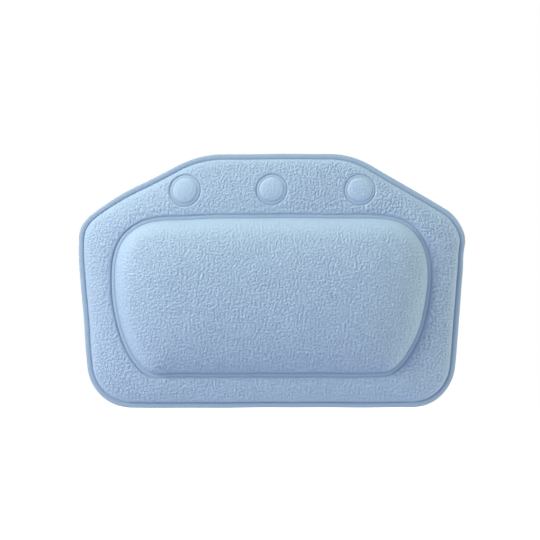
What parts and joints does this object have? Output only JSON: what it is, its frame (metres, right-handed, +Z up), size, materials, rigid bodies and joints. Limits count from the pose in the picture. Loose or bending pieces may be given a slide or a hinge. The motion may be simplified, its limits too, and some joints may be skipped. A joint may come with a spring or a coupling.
{
  "type": "bath pillow",
  "caption": "Padded welded-vinyl bath pillow with a raised head panel and a top flap that folds back and holds to the tub wall by suction cups that turn in their holes.",
  "frame": {"origin": "axis of the middle suction cup where its lip meets the tub wall", "axes": "+Z up, +Y into the tub wall, so the padded front faces -Y, and +X to the right seen from the front"},
  "size_m": [0.3204, 0.05, 0.21],
  "materials": {
    "cover_vinyl": "pale blue expanded vinyl with an embossed crepe grain, smooth where it is welded",
    "back_vinyl": "plain pale blue vinyl sheet with a fine matt grain",
    "sponge": "open-cell sponge",
    "clear_vinyl": "clear soft moulded vinyl"
  },
  "bodies": {
    "flap": {"flap_front_cover": "cover_vinyl", "flap_foam": "sponge", "flap_back_cover": "back_vinyl"},
    "pillow": {"front_cover": "cover_vinyl", "border_foam": "sponge", "pillow_core": "sponge", "back_cover": "back_vinyl"},
    "cup_left": {"suction_cup_left": "clear_vinyl"},
    "cup_centre": {"suction_cup_centre": "clear_vinyl"},
    "cup_right": {"suction_cup_right": "clear_vinyl"}
  },
  "joints": [
    {"name": "flap_fold", "type": "hinge", "parent": "flap", "child": "pillow", "pos_m": [0, -0.014, -0.022], "axis": [1, 0, 0], "range_deg": [0, 90], "stiffness_Nm_per_rad": 0.5},
    {"name": "cup_left_spin", "type": "hinge", "parent": "flap", "child": "cup_left", "pos_m": [-0.0725, 0, 0], "axis": [0, 1, 0], "continuous": true},
    {"name": "cup_centre_spin", "type": "hinge", "parent": "flap", "child": "cup_centre", "pos_m": [0, 0, 0], "axis": [0, 1, 0], "continuous": true},
    {"name": "cup_right_spin", "type": "hinge", "parent": "flap", "child": "cup_right", "pos_m": [0.0725, 0, 0], "axis": [0, 1, 0], "continuous": true}
  ]
}
